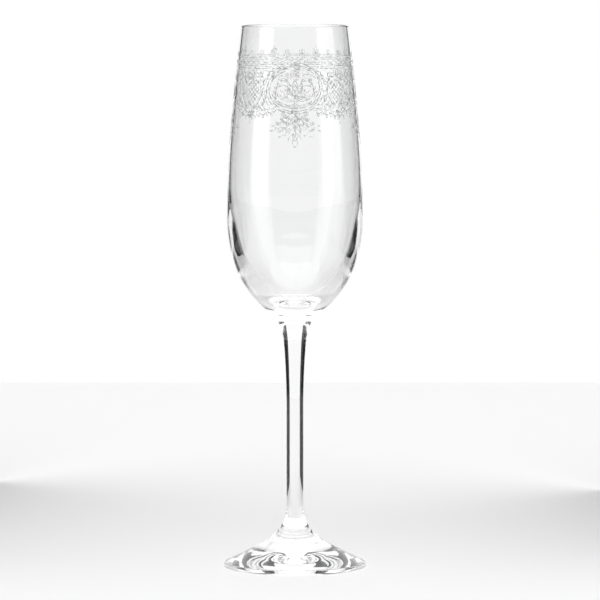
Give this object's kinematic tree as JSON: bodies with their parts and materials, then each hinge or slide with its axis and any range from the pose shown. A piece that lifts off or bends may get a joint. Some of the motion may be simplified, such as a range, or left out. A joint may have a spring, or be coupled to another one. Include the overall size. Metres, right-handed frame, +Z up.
{
  "type": "champagne flute",
  "caption": "Tall stemmed drinking glass: a slim bowl narrowing to the rim with an etched lace band, a thin flared stem and a low conical foot.",
  "frame": {"origin": "centre of the ring that the foot rests on", "axes": "+Z up along the axis of the stem and bowl; the glass is round, so +X and +Y are free, and -Y faces the viewer"},
  "size_m": [0.0592, 0.0592, 0.225],
  "materials": {
    "crystal_glass": "clear polished lead-free crystal, colourless",
    "etched_glass": "frosted white relief lines, as a plate etching leaves on crystal"
  },
  "bodies": {
    "root": {"bowl": "crystal_glass", "stem": "crystal_glass", "foot": "crystal_glass"}
  },
  "joints": []
}
